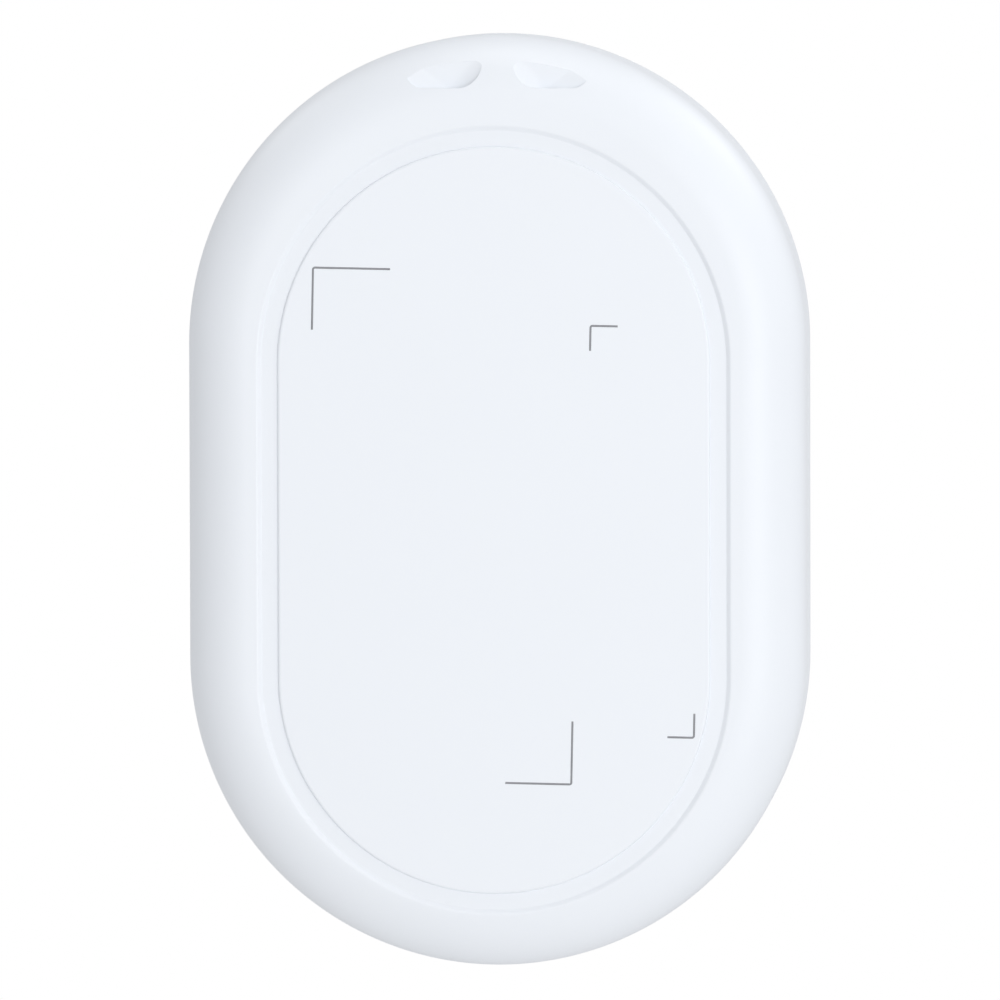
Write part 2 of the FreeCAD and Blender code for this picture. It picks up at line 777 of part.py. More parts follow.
# Silicone membrane: hub behind the cap's post, thin web, and a rim under the clamp
def button_membrane():
    body = new_body("button_membrane")
    side = new_sketch(body, "Side", plane="XZ_Plane")
    draw_loop(side, [
        ("0", "hub_level"),
        ("cap_post_radius", "hub_level"),
        ("cap_post_radius", "stem_level - membrane_web"),
        ("membrane_inner", "stem_level - membrane_web"),
        ("membrane_inner", "flange_level"),
        ("membrane_rim_radius", "flange_level"),
        ("membrane_rim_radius", "rim_level"),
        ("membrane_outer", "rim_level"),
        ("membrane_outer", "stem_level"),
        ("0", "stem_level"),
    ])
    turn(side, "Diaphragm")
    stand(body, "button_membrane")


# Ring that holds the membrane's rim down, with four ears for its screws
def membrane_clamp():
    body = new_body("membrane_clamp")
    side = new_sketch(body, "Side", plane="XZ_Plane")
    draw_loop(side, [
        ("clamp_lip", "flange_level"),
        ("ring_flange_radius", "flange_level"),
        ("ring_flange_radius", "clamp_level"),
        ("clamp_inner", "clamp_level"),
        ("clamp_inner", "rim_level"),
        ("clamp_lip", "rim_level"),
    ])
    turn(side, "ClampRing")
    ears = new_sketch(body, "Ears", "rim_level")
    draw_circles(ears, "clamp_ear_radius", corners("clamp_screw_x", "clamp_screw_y"))
    pad(ears, "clamp_thickness", "Ears")
    roots = new_sketch(body, "EarRoots", "rim_level")
    across, along = "clamp_ear_radius * sin(clamp_screw_angle)", "clamp_ear_radius * cos(clamp_screw_angle)"
    start_x = "(ring_flange_radius - clamp_clearance) * cos(clamp_screw_angle)"
    start_y = "(ring_flange_radius - clamp_clearance) * sin(clamp_screw_angle)"
    for side, end in ((1, 1), (-1, 1), (-1, -1), (1, -1)):
        draw_loop(roots, [
            (f"{side} * ({start_x} + {across})", f"{end} * ({start_y} - {along})"),
            (f"{side} * (clamp_screw_x + {across})", f"{end} * (clamp_screw_y - {along})"),
            (f"{side} * (clamp_screw_x - {across})", f"{end} * (clamp_screw_y + {along})"),
            (f"{side} * ({start_x} - {across})", f"{end} * ({start_y} + {along})"),
        ])
    pad(roots, "clamp_thickness", "EarWebs")
    holes = new_sketch(body, "ScrewHoles", "clamp_level")
    draw_circles(holes, "clamp_screw_radius + screw_clearance", corners("clamp_screw_x", "clamp_screw_y"))
    pocket(holes, "clamp_thickness", "ScrewHolesCut")
    pipes = new_sketch(body, "PipeHoles", "clamp_level")
    draw_circles(pipes, "light_pipe_radius + clamp_clearance", corners("light_pipe_xy", "light_pipe_xy"))
    pocket(pipes, "clamp_level - flange_level", "PipeHolesCut")
    stand(body, "membrane_clamp")


# Circuit board between the bosses of the two covers
def circuit_board():
    body = new_body("circuit_board")
    outline = new_sketch(body, "Outline")
    draw_stadium(outline, "cavity_radius - board_margin", "cavity_top", "0 - case_centre")
    draw_circles(outline, "screw_hole", corners("screw_x", "screw_y"))
    pad(outline, "board_thickness", "Board")
    stand(body, "circuit_board", z="board_front")


# Push switch: a moulded base with a pit, a snap dome, the stem, a steel frame and leads
def switch_pieces():
    base = new_body("switch_base")
    foot = new_sketch(base, "Foot", "switch_level")
    draw_box(foot, "switch_size", "switch_size")
    pad(foot, "switch_height", "Block")
    pit = new_sketch(base, "Pit", "switch_level")
    draw_circle(pit, "switch_pit_radius")
    pocket(pit, "pit_level - switch_level", "DomePit", back=True)
    stand(base, "switch_base")

    frame = new_body("switch_frame")
    plate = new_sketch(frame, "Plate", "frame_level")
    draw_box(plate, "switch_size", "switch_size")
    draw_circle(plate, "stem_radius + stem_clearance")
    pad(plate, "switch_frame_thickness", "Cover")
    stand(frame, "switch_frame")

    stem = new_body("switch_stem")
    side = new_sketch(stem, "Side", plane="XZ_Plane")
    draw_loop(side, [
        ("0", "stem_level"),
        ("stem_radius", "stem_level"),
        ("stem_radius", "switch_level"),
        ("stem_flange_radius", "switch_level"),
        ("stem_flange_radius", "stem_flange_level"),
        ("0", "stem_flange_level"),
    ])
    turn(side, "Plunger")
    stand(stem, "switch_stem")

    dome = new_body("switch_dome")
    rim = "pit_level - dome_thickness"
    crown = "stem_flange_level"
    shell = new_sketch(dome, "Side", plane="XZ_Plane")
    draw_loop(shell, [
        ("0", crown),
        ("dome_radius / 2", crown),
        ("dome_radius", rim),
        ("dome_radius", "pit_level"),
        ("dome_radius - dome_thickness", "pit_level"),
        ("dome_radius / 2 - dome_thickness / 2", f"{crown} + dome_thickness"),
        ("0", f"{crown} + dome_thickness"),
    ])
    turn(shell, "SnapDome")
    stand(dome, "switch_dome")

    feet = []
    out = "switch_size / 2 + lead_length / 2"
    level = "board_front - lead_thickness"
    for index, (x, y, _) in enumerate(corners(out, "lead_spacing / 2"), start=1):
        feet.append(box(f"lead_{index}", "lead_length", "lead_width", "lead_thickness", x, y, level))
    stand(group("switch_leads", feet), "switch_leads")


# Coin cell with the step of its smaller lid
def coin_cell():
    body = new_body("coin_cell")
    side = new_sketch(body, "Side", plane="XZ_Plane")
    draw_loop(side, [
        ("0", "0"),
        ("cell_lid_radius", "0"),
        ("cell_lid_radius", "cell_step"),
        ("cell_radius", "cell_step"),
        ("cell_radius", "cell_thickness"),
        ("0", "cell_thickness"),
    ])
    turn(side, "Cell")
    stand(body, "coin_cell", y="cell_y", z="cell_level")


# Holder ring of the cell, open on one side so that the cell can be slid out
def battery_holder():
    body = new_body("battery_holder")
    base = new_sketch(body, "Base")
    draw_circle(base, "holder_outer")
    pad(base, "holder_height", "Cup")
    seat = new_sketch(body, "Seat", "holder_height")
    draw_circle(seat, "holder_inner")
    pocket(seat, "holder_height - holder_floor", "CellSeat")
    window = new_sketch(body, "Window", "holder_floor")
    draw_box(window, "contact_length + 2 * cell_clearance", "holder_window")
    pocket(window, "holder_floor", "ContactWindow")
    mouth = new_sketch(body, "Mouth", "holder_height")
    through = "2 * holder_wall + cell_clearance"
    draw_box(mouth, "holder_mouth", through, y="0 - holder_inner - holder_wall / 2")
    pocket(mouth, "holder_height - holder_floor", "Mouth")
    gate = new_sketch(body, "ClipGate", "holder_height")
    draw_box(gate, "clip_width + 2 * cell_clearance", through, y="holder_inner + holder_wall / 2")
    pocket(gate, "holder_height", "ClipGateCut")
    stand(body, "battery_holder", y="cell_y", z="board_rear")


# Bent strip from the board over the top of the cell
def positive_clip():
    body = new_body("positive_clip")
    side = new_sketch(body, "Side", plane="YZ_Plane")
    near = "holder_inner + cell_clearance"
    far = "holder_inner + cell_clearance + clip_thickness"
    high = "clip_level - board_rear"
    draw_loop(side, [
        (near, "clip_thickness"),
        (near, high),
        ("holder_inner - clip_reach", high),
        ("holder_inner - clip_reach", f"{high} + clip_thickness"),
        (far, f"{high} + clip_thickness"),
        (far, "clip_thickness"),
        (f"{far} + clip_foot", "clip_thickness"),
        (f"{far} + clip_foot", "0"),
        (near, "0"),
    ])
    pad(side, "clip_width", "Strip", middle=True)
    stand(body, "positive_clip", y="cell_y", z="board_rear")


# Flat spring contact under the cell
def negative_contact():
    strip = box("contact_strip", "contact_length", "contact_width", "contact_thickness")
    pad_shape = box("contact_pad", "contact_width", "contact_width", "holder_floor")
    stand(fuse("contact_whole", [strip, pad_shape]), "negative_contact", y="cell_y", z="board_rear")


# Radio module with its shield, the aerial, and the parts round the controller
def electronics():
    leds = []
    level = "board_front - led_height"
    for index, (x, y, _) in enumerate(corners("light_pipe_xy", "light_pipe_xy"), start=1):
        leds.append(box(f"led_{index}", "led_length", "led_width", "led_height", x, y, level))
    stand(group("status_leds", leds), "status_leds")

    module = group("radio", [box("radio_block", "radio_width", "radio_height", "radio_thickness")])
    stand(module, "radio_board", y="radio_y", z="board_rear")

    can = box("shield_block", "shield_width", "shield_length", "shield_height")
    room_width, room_length = "shield_width - 2 * shield_wall", "shield_length - 2 * shield_wall"
    room = box("shield_room", room_width, room_length, "shield_height - shield_wall")
    stand(cut("shield_whole", can, room), "radio_shield", y="radio_y", z="board_rear + radio_thickness")

    blocks = (
        ("chip_antenna", "antenna_length", "antenna_width", "antenna_height", "0", "antenna_y"),
        ("controller_chip", "chip_size", "chip_size", "chip_height", "chip_x", "chip_y"),
        ("quartz_crystal", "crystal_length", "crystal_width", "crystal_height", "crystal_x", "crystal_y"),
    )
    for label, length, width, height, x, y in blocks:
        stand(group(label, [box(label + "_block", length, width, height)]), label, x=x, y=y, z="board_rear")

    rows = (("capacitors", "capacitor_x", "capacitor_y"), ("resistors", "resistor_x", "resistor_y"))
    for label, x, y in rows:
        row = []
        for index in range(int(number_of("passive_count"))):
            name, down = f"{label}_{index + 1}", f"0 - {index} * passive_pitch"
            row.append(box(name, "passive_length", "passive_width", "passive_height", y=down))
        stand(group(label, row), label, x=x, y=y, z="board_rear")


rear_cover()
front_cover()
label_plate()
case_seal()
case_screws()
button_cap()
light_ring()
button_membrane()
membrane_clamp()
clamp_screws()
circuit_board()
switch_pieces()
coin_cell()
battery_holder()
positive_clip()
negative_contact()
electronics()
doc.recompute()


def check_document():
    """Stop before writing anything if a feature failed, cut nothing or left a bad shape."""
    for thing in doc.Objects:
        if "Invalid" in thing.State or "Error" in thing.State:
            raise RuntimeError(f"{thing.Name} failed: {thing.State}")
        if thing.TypeId != "PartDesign::Pocket":
            continue
        if thing.Shape.Volume > thing.BaseFeature.Shape.Volume - NEAR:
            raise RuntimeError(f"{thing.Name} cuts nothing")
    for piece in pieces:
        if piece.Shape.isNull() or not piece.Shape.isValid():
            raise RuntimeError(f"{piece.Label} has no valid shape")


check_document()
for piece in pieces:
    piece.Shape.exportStep(f"parts/{piece.Label}.step")
    solids = len(piece.Shape.Solids)
    print(f"{piece.Label}: {solids} solid(s), {piece.Shape.Volume:.1f} mm3")
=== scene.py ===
import math

import bmesh
import bpy
from mathutils import Matrix, Vector


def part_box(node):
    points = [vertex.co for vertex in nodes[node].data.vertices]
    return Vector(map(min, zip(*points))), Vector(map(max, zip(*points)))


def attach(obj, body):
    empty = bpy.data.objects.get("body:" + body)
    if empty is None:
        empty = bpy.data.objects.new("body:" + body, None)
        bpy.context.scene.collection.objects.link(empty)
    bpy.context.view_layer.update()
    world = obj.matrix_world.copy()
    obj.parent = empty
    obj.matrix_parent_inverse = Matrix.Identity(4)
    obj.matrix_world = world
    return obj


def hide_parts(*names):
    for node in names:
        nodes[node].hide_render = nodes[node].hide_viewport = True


# Panic button seen from its rear: white moulded case, label plate, two shallow wells.
# +Z runs up towards the wells, the rear faces -Y and the button faces +Y.
# The forms are worked out in millimetres, lying flat as in the part's source: x across,
# y up the case, and a level above the seam of the two covers. stand() turns that into metres.

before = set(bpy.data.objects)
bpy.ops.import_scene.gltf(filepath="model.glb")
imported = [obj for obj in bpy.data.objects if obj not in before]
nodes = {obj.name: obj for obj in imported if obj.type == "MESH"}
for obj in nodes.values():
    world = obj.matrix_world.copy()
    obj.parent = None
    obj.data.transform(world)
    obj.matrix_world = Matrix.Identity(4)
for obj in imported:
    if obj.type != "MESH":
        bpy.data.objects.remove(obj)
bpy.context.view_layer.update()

MM = 0.001
REAR_LOW, REAR_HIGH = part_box("rear_cover")
FRONT_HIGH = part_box("front_cover")[1]
PLATE_LOW, PLATE_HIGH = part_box("label_plate")
CAP_LOW, CAP_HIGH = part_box("button_cap")
RING_LOW, RING_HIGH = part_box("light_ring")
SCREW_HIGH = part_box("case_screws")[1]
CLAMP_SCREW_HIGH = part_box("clamp_screws")[1]
SEAM = REAR_HIGH[1]

# Sizes and levels of the case, from the frame
CASE_RADIUS = REAR_HIGH[0] / MM
CASE_CENTRE = REAR_HIGH[2] / MM - CASE_RADIUS
CASE_ENDS = (CASE_CENTRE, -CASE_CENTRE)
REAR_LEVEL = (SEAM - REAR_LOW[1]) / MM
FRONT_LEVEL = (SEAM - FRONT_HIGH[1]) / MM
PLATE_RADIUS = PLATE_HIGH[0] / MM
PLATE_ENDS = (PLATE_HIGH[2] / MM - PLATE_RADIUS, PLATE_LOW[2] / MM + PLATE_RADIUS)
FLOOR_LEVEL = (SEAM - PLATE_HIGH[1]) / MM
CENTRED = (0.0, 0.0)

# Walls and rounds of the case
REAR_ROUND = 6.2
FRONT_ROUND = 4.0
SIDE_WALL = 3.0
FACE_WALL = 1.8
SOLID_ZONE = 3.75
SEAM_BEVEL = 0.15
MOAT = 1.8
RECESS_ROUND = 0.4
RECESS_FOOT = 0.2
RECESS_SLOPE = 0.2
PLATE_ROUND = 0.25
PLATE_SINK = 0.015
CAVITY_RADIUS = CASE_RADIUS - SIDE_WALL
CAVITY_ENDS = (CASE_CENTRE - SOLID_ZONE, -CASE_CENTRE)
RECESS_RADIUS = PLATE_RADIUS + MOAT

# Seal groove in the rear cover, and the rib that stands in it
GROOVE_WIDTH = 1.2
GROOVE_DEPTH = 1.6
GROOVE_INNER = CAVITY_RADIUS + (SIDE_WALL - GROOVE_WIDTH) / 2
RIB_GAP = 0.1
RIB_HEIGHT = 0.4

# Screws, their bosses and seats
BOARD_REAR = 0.9
BOARD_FRONT = -0.1
HEAD_RADIUS = 1.9
HEAD_ROOM = 0.2
HEAD_HEIGHT = 1.5
SHANK_HOLE = 1.15
PILOT_HOLE = 1.02
BOSS_RADIUS = 3.05
BOSS_ROOT = 0.5
CLAMP_HEAD_RADIUS = 1.4
CLAMP_POST_RADIUS = 2.2
CLAMP_PILOT = 0.82
RIM_LEVEL = -5.0
SCREW_END = (SEAM - SCREW_HIGH[1]) / MM
CLAMP_SCREW_END = (SEAM - CLAMP_SCREW_HIGH[1]) / MM
SCREW_PLACE = (SCREW_HIGH[0] / MM - HEAD_RADIUS, SCREW_HIGH[2] / MM - HEAD_RADIUS)
CLAMP_PLACE = (
    CLAMP_SCREW_HIGH[0] / MM - CLAMP_HEAD_RADIUS,
    CLAMP_SCREW_HIGH[2] / MM - CLAMP_HEAD_RADIUS,
)

# Wells: each is a rounded box in plan, open towards the end of the case. Its flat floor is
# bounded by two slanting lines, given by a point and the way in which the floor rises beyond.
WELL_SHIFT = 0.42
WELL_DEPTH = 1.3
WELL_INNER = 1.55
WELL_OUTER = 9.0
WELL_FOOT = 40.8
WELL_HEAD = 47.0
WELL_INNER_CORNER = 2.4
WELL_OUTER_CORNER = 1.6
WELL_BOWL_START = Vector((2.81, 43.48))
WELL_BOWL_WAY = Vector((-0.766, -0.643))
WELL_BOWL_RADIUS = 2.35
WELL_RAMP_START = Vector((7.24, 42.6))
WELL_RAMP_WAY = Vector((0.582, -0.813))
WELL_RAMP_RISE = 0.2
WELL_EDGE = 0.04
WELL_SPACING = 0.12

# Cap and light ring
CAP_DISH = 0.7
CAP_LIP = 0.8
CAP_WALL = 1.4
CAP_FACE = 1.5
CAP_FLANGE = 1.2
CAP_FLANGE_THICKNESS = 0.8
CAP_POST = 4.0
CAP_RIB = 0.8
RING_GAP = 0.3
RING_WIDTH = 3.4
RING_FIT = 0.1
RING_SINK = 0.4
RING_FLANGE_THICKNESS = 1.0
RING_ROUND = 0.3
PIPE_RADIUS = 1.0
PIPE_WALL = 0.9
CAP_RADIUS = CAP_HIGH[0] / MM - CAP_FLANGE
CAP_LEVEL = (SEAM - CAP_HIGH[1]) / MM
HUB_LEVEL = (SEAM - CAP_LOW[1]) / MM
RING_INNER = CAP_RADIUS + RING_GAP
RING_OUTER = RING_INNER + RING_WIDTH
RING_FLANGE = RING_HIGH[0] / MM
PIPE_END = (SEAM - RING_LOW[1]) / MM
FRONT_INSIDE = FRONT_LEVEL + FACE_WALL
FLANGE_LEVEL = FRONT_INSIDE + RING_FLANGE_THICKNESS
CAP_BACK = FLANGE_LEVEL + CAP_FLANGE_THICKNESS

# Printed corner marks on the plate, in the millimetres of the plate: the corner, and how far
# its two arms reach. All of them are turned a little, as the print sits slightly askew.
MARK_WIDTH = 0.2
MARK_THICKNESS = 0.012
MARK_LIFT = MARK_THICKNESS / 4
MARK_TURN = math.radians(-1.2)
MARKS = (
    ((-17.72, 23.21), (7.59, 0), (0, -6.11)),
    ((7.61, -27.65), (-6.51, 0), (0, 6.21)),
    ((9.59, 17.49), (2.66, 0), (0, -2.46)),
    ((19.69, -23.02), (-2.61, 0), (0, 2.37)),
)

# How finely the forms are cut up: steps round the case, dense where the wells are. A circle has
# as many points as a case outline, and gives the waist, in degrees, to those of the straight sides.
CORNER_STEPS = 56
WELL_STEPS = 200
WELL_ANGLE = 22.0
SIDE_STEPS = 20
FOOT_STEPS = 144
RIM_STEPS = 100
WAIST = 27.0
ARC_STEP = 0.118
ARC_LEAST = 6
FINE = 240
TOOL_STEPS = 72
DISH_STEPS = 40
BEND_STEPS = 6
SHARP_ANGLE = math.radians(30)
SAME_PLACE = 1e-7
# Small distances: a guard ring from an edge, the end of a drill past the surface that it cuts,
# and what keeps an arc from using up a whole side. The last is a share: how far the innermost
# ring of the cavity is drawn in towards the middle.
GUARD = 0.1
OVERLAP = 1.0
HAIR = 0.01
LAST_RING = 0.1


def steps(start, stop, count):
    """Give evenly spaced values from start on, without stop itself."""
    return [start + (stop - start) * index / count for index in range(count)]


TOP_ANGLES = (
    steps(0, 90 - WELL_ANGLE, CORNER_STEPS)
    + steps(90 - WELL_ANGLE, 90 + WELL_ANGLE, WELL_STEPS)
    + steps(90 + WELL_ANGLE, 180, CORNER_STEPS)
)
FOOT_ANGLES = steps(180, 360, FOOT_STEPS)
SIDE_SHARES = steps(0, 1, SIDE_STEPS)


def stand(x, y, level):
    """Turn a flat place in millimetres into the standing one in metres."""
    return Vector((x * MM, SEAM - level * MM, y * MM))


def polar(radius, degrees, level, x=0.0, y=0.0):
    """Give a point on a circle round x and y, at an angle and a level."""
    angle = math.radians(degrees)
    return Vector((x + radius * math.cos(angle), y + radius * math.sin(angle), level))


def stadium(radius, level, ends):
    """Give a ring with two straight sides and two round ends, or a circle with as many points."""
    top, foot = ends
    waist = WAIST if top == foot else 0.0
    squeeze = 1 - waist / 90
    ring = [polar(radius, waist + angle * squeeze, level, y=top) for angle in TOP_ANGLES]
    ring += stadium_side(radius, level, ends, 180 - waist, 2 * waist, -1)
    for angle in FOOT_ANGLES:
        ring.append(polar(radius, 180 + waist + (angle - 180) * squeeze, level, y=foot))
    return ring + stadium_side(radius, level, (foot, top), -waist, 2 * waist, 1)


def stadium_side(radius, level, ends, start, turn, side):
    """Give a straight side, or in a circle the arc that takes its place."""
    if turn:
        return [polar(radius, start + turn * share, level) for share in SIDE_SHARES]
    first, last = ends
    return [Vector((side * radius, first + (last - first) * share, level)) for share in SIDE_SHARES]


def soften(corners):
    """Turn profile corners (radius, level, round, ends) into points, with arcs at the rounds."""
    points = []
    for index, (radius, level, bend, ends) in enumerate(corners):
        if not bend:
            points.append((radius, level, ends))
            continue
        here = Vector((radius, level))
        back = (Vector(corners[index - 1][:2]) - here).normalized()
        ahead = (Vector(corners[(index + 1) % len(corners)][:2]) - here).normalized()
        half = back.angle(ahead) / 2
        centre = here + (back + ahead).normalized() * bend / math.sin(half)
        first = here + back * bend / math.tan(half) - centre
        last = here + ahead * bend / math.tan(half) - centre
        sweep = math.atan2(first.x * last.y - first.y * last.x, first.dot(last))
        count = max(ARC_LEAST, math.ceil(abs(sweep) * bend / ARC_STEP))
        start = math.atan2(first.y, first.x)
        for step in range(count + 1):
            angle = start + sweep * step / count
            across = centre.x + bend * math.cos(angle)
            points.append((across, centre.y + bend * math.sin(angle), ends))
    return points


def mix(first, last, share):
    """Give the ring that lies at a share of the way between two rings."""
    return [a.lerp(b, share) for a, b in zip(first, last)]


def guard(rings, closed=False):
    """Add a ring close to both ends of each wide band, so that it keeps a flat look."""
    result = []
    pairs = zip(rings, rings[1:] + rings[:1]) if closed else zip(rings, rings[1:])
    for first, last in pairs:
        result.append(first)
        width = max((a - b).length for a, b in zip(first, last))
        if width > 4 * GUARD:
            result += [mix(first, last, GUARD / width), mix(first, last, 1 - GUARD / width)]
    return result if closed else result + [rings[-1]]


def finish_mesh(name, points, faces, material):
    """Make an object whose faces look outwards, smooth but for its sharp edges."""
    mesh = bpy.data.meshes.new(name)
    mesh.from_pydata(points, [], faces)
    shape = bmesh.new()
    shape.from_mesh(mesh)
    bmesh.ops.remove_doubles(shape, verts=shape.verts, dist=SAME_PLACE)
    bmesh.ops.recalc_face_normals(shape, faces=shape.faces)
    shape.to_mesh(mesh)
    shape.free()
    piece = bpy.data.objects.new(name, mesh)
    bpy.context.scene.collection.objects.link(piece)
    mesh.materials.append(material)
    smooth(mesh)
    return piece


def smooth(mesh):
    """Shade a mesh smooth, but for the edges where it turns sharply."""
    mesh.shade_smooth()
    mesh.set_sharp_from_angle(angle=SHARP_ANGLE)


def loft(name, rings, material, closed=False):
    """Join rings of equal length into a skin; an open row of rings gets a face at each end."""
    size = len(rings[0])
    points = [stand(*point) for ring in rings for point in ring]
    faces = []
    for row in range(len(rings) if closed else len(rings) - 1):
        here, there = row * size, (row + 1) % len(rings) * size
        for index in range(size):
            after = (index + 1) % size
            faces.append((here + index, here + after, there + after, there + index))
    if not closed:
        faces.append(tuple(range(size)))
        faces.append(tuple(range((len(rings) - 1) * size, len(rings) * size)))
    return finish_mesh(name, points, faces, material)


def spin(name, corners, material, x=0.0, y=0.0, count=FINE):
    """Turn a profile of corners (radius, level, round) round an axis through x and y."""
    profile = soften([corner + (CENTRED,) for corner in corners])
    rings = []
    for radius, level, _ in profile:
        rings.append([polar(radius, 360 * index / count, level, x, y) for index in range(count)])
    return loft(name, guard(rings), material)


def tube(x, y, radius, first, last, material):
    """Make a plain post or drill between two levels."""
    profile = [(0, first, 0), (radius, first, 0), (radius, last, 0), (0, last, 0)]
    return spin("tool", profile, material, x, y, TOOL_STEPS)


def four(place):
    """Give a place and its mirror images in the two middle lines of the case."""
    x, y = place
    return [(side * x, end * y) for side in (-1, 1) for end in (-1, 1)]


def combine(piece, tools, operation):
    """Add the tools to a piece or take them out of it."""
    bpy.context.view_layer.update()
    for tool in tools:
        modifier = piece.modifiers.new("shape", "BOOLEAN")
        modifier.operation = operation
        modifier.solver = "EXACT"
        modifier.object = tool
    graph = bpy.context.evaluated_depsgraph_get()
    mesh = bpy.data.meshes.new_from_object(piece.evaluated_get(graph))
    piece.modifiers.clear()
    piece.data = mesh
    smooth(mesh)
    for tool in tools:
        bpy.data.objects.remove(tool)


# Materials


def linear(code, alpha=1.0):
    """Turn an sRGB hex value into the linear colour that the shaders take."""
    parts = [int(code[i:i + 2], 16) / 255 for i in (1, 3, 5)]
    return [p / 12.92 if p <= 0.04045 else ((p + 0.055) / 1.055) ** 2.4 for p in parts] + [alpha]


def add_node(tree, kind, settings=None, **sockets):
    """Add a node, set its properties, and fill its sockets with numbers or other nodes' outputs.
    A socket is named by its words joined with underscores, or by in and its index."""
    node = tree.nodes.new(kind)
    for name, value in (settings or {}).items():
        setattr(node, name, value)
    for name, value in sockets.items():
        key = int(name[2:]) if name[:2] == "in" and name[2:].isdigit() else name.replace("_", " ")
        socket = node.inputs[key]
        if isinstance(value, bpy.types.NodeSocket):
            tree.links.new(value, socket)
        else:
            socket.default_value = value
    return node


def new_material(name, color, roughness, **sockets):
    """Start a material from its base colour, roughness and any other fixed sockets."""
    material = bpy.data.materials.new(name)
    material.use_nodes = True
    tree = material.node_tree
    tree.nodes.clear()
    shader = add_node(tree, "ShaderNodeBsdfPrincipled", Base_Color=linear(color),
                      Roughness=roughness, **sockets)
    add_node(tree, "ShaderNodeOutputMaterial", Surface=shader.outputs["BSDF"])
    return material, tree, shader


def grain(tree, shader, size, depth):
    """Give a surface a fine grain: bumps of a size and depth in millimetres."""
    place = add_node(tree, "ShaderNodeTexCoord").outputs["Object"]
    noise = add_node(tree, "ShaderNodeTexNoise", Vector=place, Scale=1 / (size * MM),
                     Detail=3.0, Roughness=0.55)
    bump = add_node(tree, "ShaderNodeBump", Strength=1.0, Distance=depth * MM,
                    Height=noise.outputs["Fac"])
    tree.links.new(bump.outputs["Normal"], shader.inputs["Normal"])


def drift(tree, shader, socket, size, low, high):
    """Let a socket wander between two values over patches of a size in millimetres."""
    place = add_node(tree, "ShaderNodeTexCoord").outputs["Object"]
    noise = add_node(tree, "ShaderNodeTexNoise", Vector=place, Scale=1 / (size * MM), Detail=2.0)
    if socket == "Base Color":
        blend = add_node(tree, "ShaderNodeMix", {"data_type": "RGBA"}, in0=noise.outputs["Fac"])
        blend.inputs[6].default_value = linear(low)
        blend.inputs[7].default_value = linear(high)
        tree.links.new(blend.outputs[2], shader.inputs[socket])
        return
    span = add_node(tree, "ShaderNodeMapRange", Value=noise.outputs["Fac"],
                    To_Min=low, To_Max=high)
    tree.links.new(span.outputs["Result"], shader.inputs[socket])


def surface(name, shades, gloss, patch, size, depth, **sockets):
    """Make a material that drifts between two shades and two roughnesses, with a grain."""
    material, tree, shader = new_material(name, shades[0], gloss[0], **sockets)
    grain(tree, shader, size, depth)
    drift(tree, shader, "Base Color", patch, *shades)
    drift(tree, shader, "Roughness", patch / 2, *gloss)
    return material


# Spark-eroded ABS: a soft sheen with no mirror image, barely blue
WHITE = surface(
    "abs_white_satin_moulded", ("#e8ecf2", "#eaeef4"), (0.44, 0.52), 9, 0.35, 0.004, IOR=1.53,
)
# Printable polycarbonate sheet, with a finer grain than the case
FILM = surface(
    "polycarbonate_film_satin", ("#e8ecf2", "#e9edf3"), (0.42, 0.48), 12, 0.22, 0.002, IOR=1.58,
)
# Screen-printed grey ink, matt and a little uneven in its cover
INK = surface("screen_print_ink_grey", ("#85878c", "#96989d"), (0.55, 0.65), 0.6, 0.1, 0.002)
# Injection-moulded red ABS with a silky sheen
RED = surface(
    "abs_red_satin_moulded", ("#b0100f", "#b81412"), (0.32, 0.4), 8, 0.3, 0.004, IOR=1.53,
)
# Frosted polycarbonate light guide, which lets some light through
CLEAR = surface(
    "polycarbonate_frosted", ("#e6ebee", "#dfe6ea"), (0.3, 0.38), 6, 0.25, 0.003,
    IOR=1.58, Transmission_Weight=0.35,
)
# Silicone rubber, matt with a dusty bloom
SILICONE = surface(
    "silicone_rubber_grey", ("#a9abab", "#b3b5b4"), (0.62, 0.72), 3, 0.2, 0.006, IOR=1.41,
)
# Glass-filled nylon, matt black with a fibrous speckle
NYLON = surface(
    "nylon_black_matt", ("#17181a", "#222326"), (0.55, 0.68), 0.6, 0.12, 0.006, IOR=1.53,
)
# Zinc-plated steel screws
ZINC = surface(
    "steel_zinc_plated", ("#c9cbd0", "#b6b9c0"), (0.28, 0.42), 1.2, 0.08, 0.003, Metallic=1.0,
)
# Tinned spring steel sheet
TINNED = surface(
    "steel_tinned_sheet", ("#d2d1cb", "#c1c0b9"), (0.3, 0.45), 2, 0.15, 0.003, Metallic=1.0,
)
# Glass-epoxy board under a green solder mask
BOARD = surface("solder_mask_green", ("#0f5a30", "#0c4c28"), (0.3, 0.42), 2.5, 0.4, 0.008, IOR=1.5)
# Clear resin over a light chip
RESIN = surface("led_resin_cream", ("#f0e8c8", "#e6dcb8"), (0.15, 0.25), 0.5, 0.3, 0.002, IOR=1.52)
# Fired ceramic
CERAMIC = surface("ceramic_fired_cream", ("#cfc7b4", "#b9ae98"), (0.5, 0.62), 0.6, 0.1, 0.003)
# Moulded epoxy of the chips
EPOXY = surface("epoxy_chip_black", ("#1b1b1c", "#242425"), (0.45, 0.58), 0.8, 0.08, 0.003)

